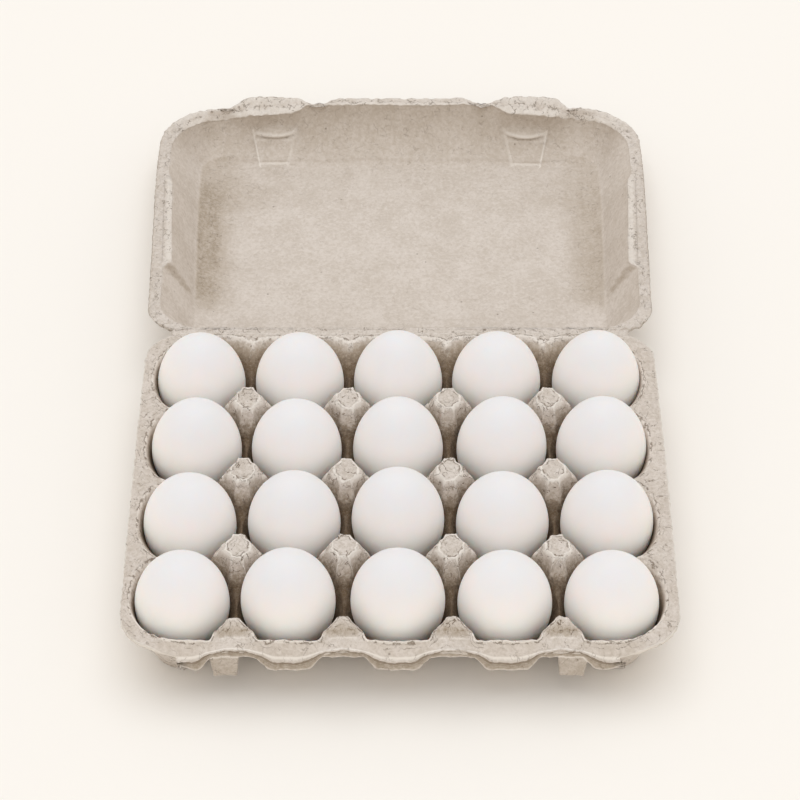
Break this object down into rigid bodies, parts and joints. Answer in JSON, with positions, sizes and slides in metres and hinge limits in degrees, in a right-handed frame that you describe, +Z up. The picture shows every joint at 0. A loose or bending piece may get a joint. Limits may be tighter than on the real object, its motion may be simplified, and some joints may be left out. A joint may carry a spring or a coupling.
{
  "type": "egg carton with eggs",
  "caption": "Moulded-pulp egg carton with its hinged lid folded flat open behind the tray, and a whole hen's egg standing in every cup.",
  "frame": {"origin": "centre of the bottom of the open carton's box, which lies under the hinge line on the surface it stands on", "axes": "+X along the hinge to the right seen from the tray's front, +Y from the tray to the open lid, +Z up"},
  "size_m": [0.2752, 0.4266, 0.059],
  "materials": {
    "pulp": "matte rough moulded pulp",
    "eggshell": "matte white eggshell"
  },
  "bodies": {
    "tray": {"tray": "pulp", "egg_1_1": "eggshell", "egg_1_2": "eggshell", "egg_1_3": "eggshell", "egg_1_4": "eggshell", "egg_1_5": "eggshell", "egg_2_1": "eggshell", "egg_2_2": "eggshell", "egg_2_3": "eggshell", "egg_2_4": "eggshell", "egg_2_5": "eggshell", "egg_3_1": "eggshell", "egg_3_2": "eggshell", "egg_3_3": "eggshell", "egg_3_4": "eggshell", "egg_3_5": "eggshell", "egg_4_1": "eggshell", "egg_4_2": "eggshell", "egg_4_3": "eggshell", "egg_4_4": "eggshell", "egg_4_5": "eggshell"},
    "lid": {"lid": "pulp"}
  },
  "joints": [
    {"name": "lid_hinge", "type": "hinge", "parent": "tray", "child": "lid", "pos_m": [0, 0.00096, 0.0353], "axis": [1, 0, 0], "range_deg": [0, 181.8]}
  ]
}
